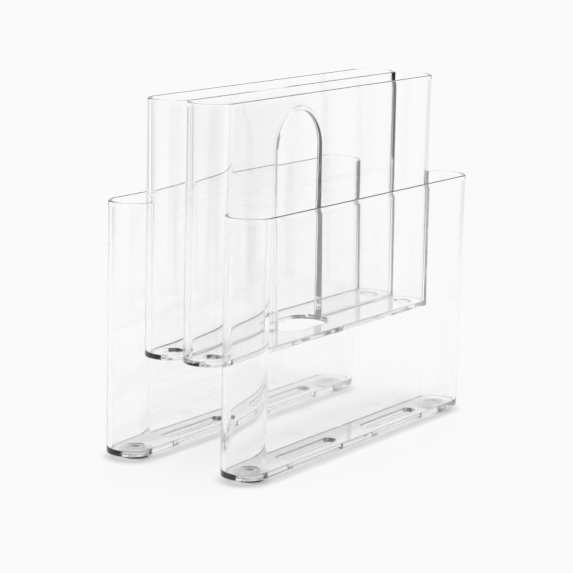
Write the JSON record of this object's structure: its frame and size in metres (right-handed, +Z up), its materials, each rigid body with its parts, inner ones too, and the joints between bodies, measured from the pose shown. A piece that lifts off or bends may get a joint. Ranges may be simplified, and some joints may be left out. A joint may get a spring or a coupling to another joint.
{
  "type": "magazine rack",
  "caption": "Clear plastic floor-standing magazine rack with upright round-ended pockets, a tall pair between two low ones, a hand hole in the middle wall and padded ring feet.",
  "frame": {"origin": "on the floor, under the middle of the rack", "axes": "+X along the rack's length, +Y through the stack of pockets from front to rear, +Z up"},
  "size_m": [0.4, 0.181, 0.3498],
  "materials": {
    "clear_body": "clear, polished",
    "foot": "clear, slightly milky, semi-gloss",
    "pad": "black, matt"
  },
  "bodies": {
    "root": {"rear_low_pocket": "clear_body", "rear_divider": "clear_body", "rear_tall_pocket": "clear_body", "hand_hole_divider": "clear_body", "front_tall_pocket": "clear_body", "front_divider": "clear_body", "front_low_pocket": "clear_body", "foot_front_left": "foot", "foot_front_right": "foot", "foot_rear_left": "foot", "foot_rear_right": "foot", "pad_front_left": "pad", "pad_front_right": "pad", "pad_rear_left": "pad", "pad_rear_right": "pad"}
  },
  "joints": []
}
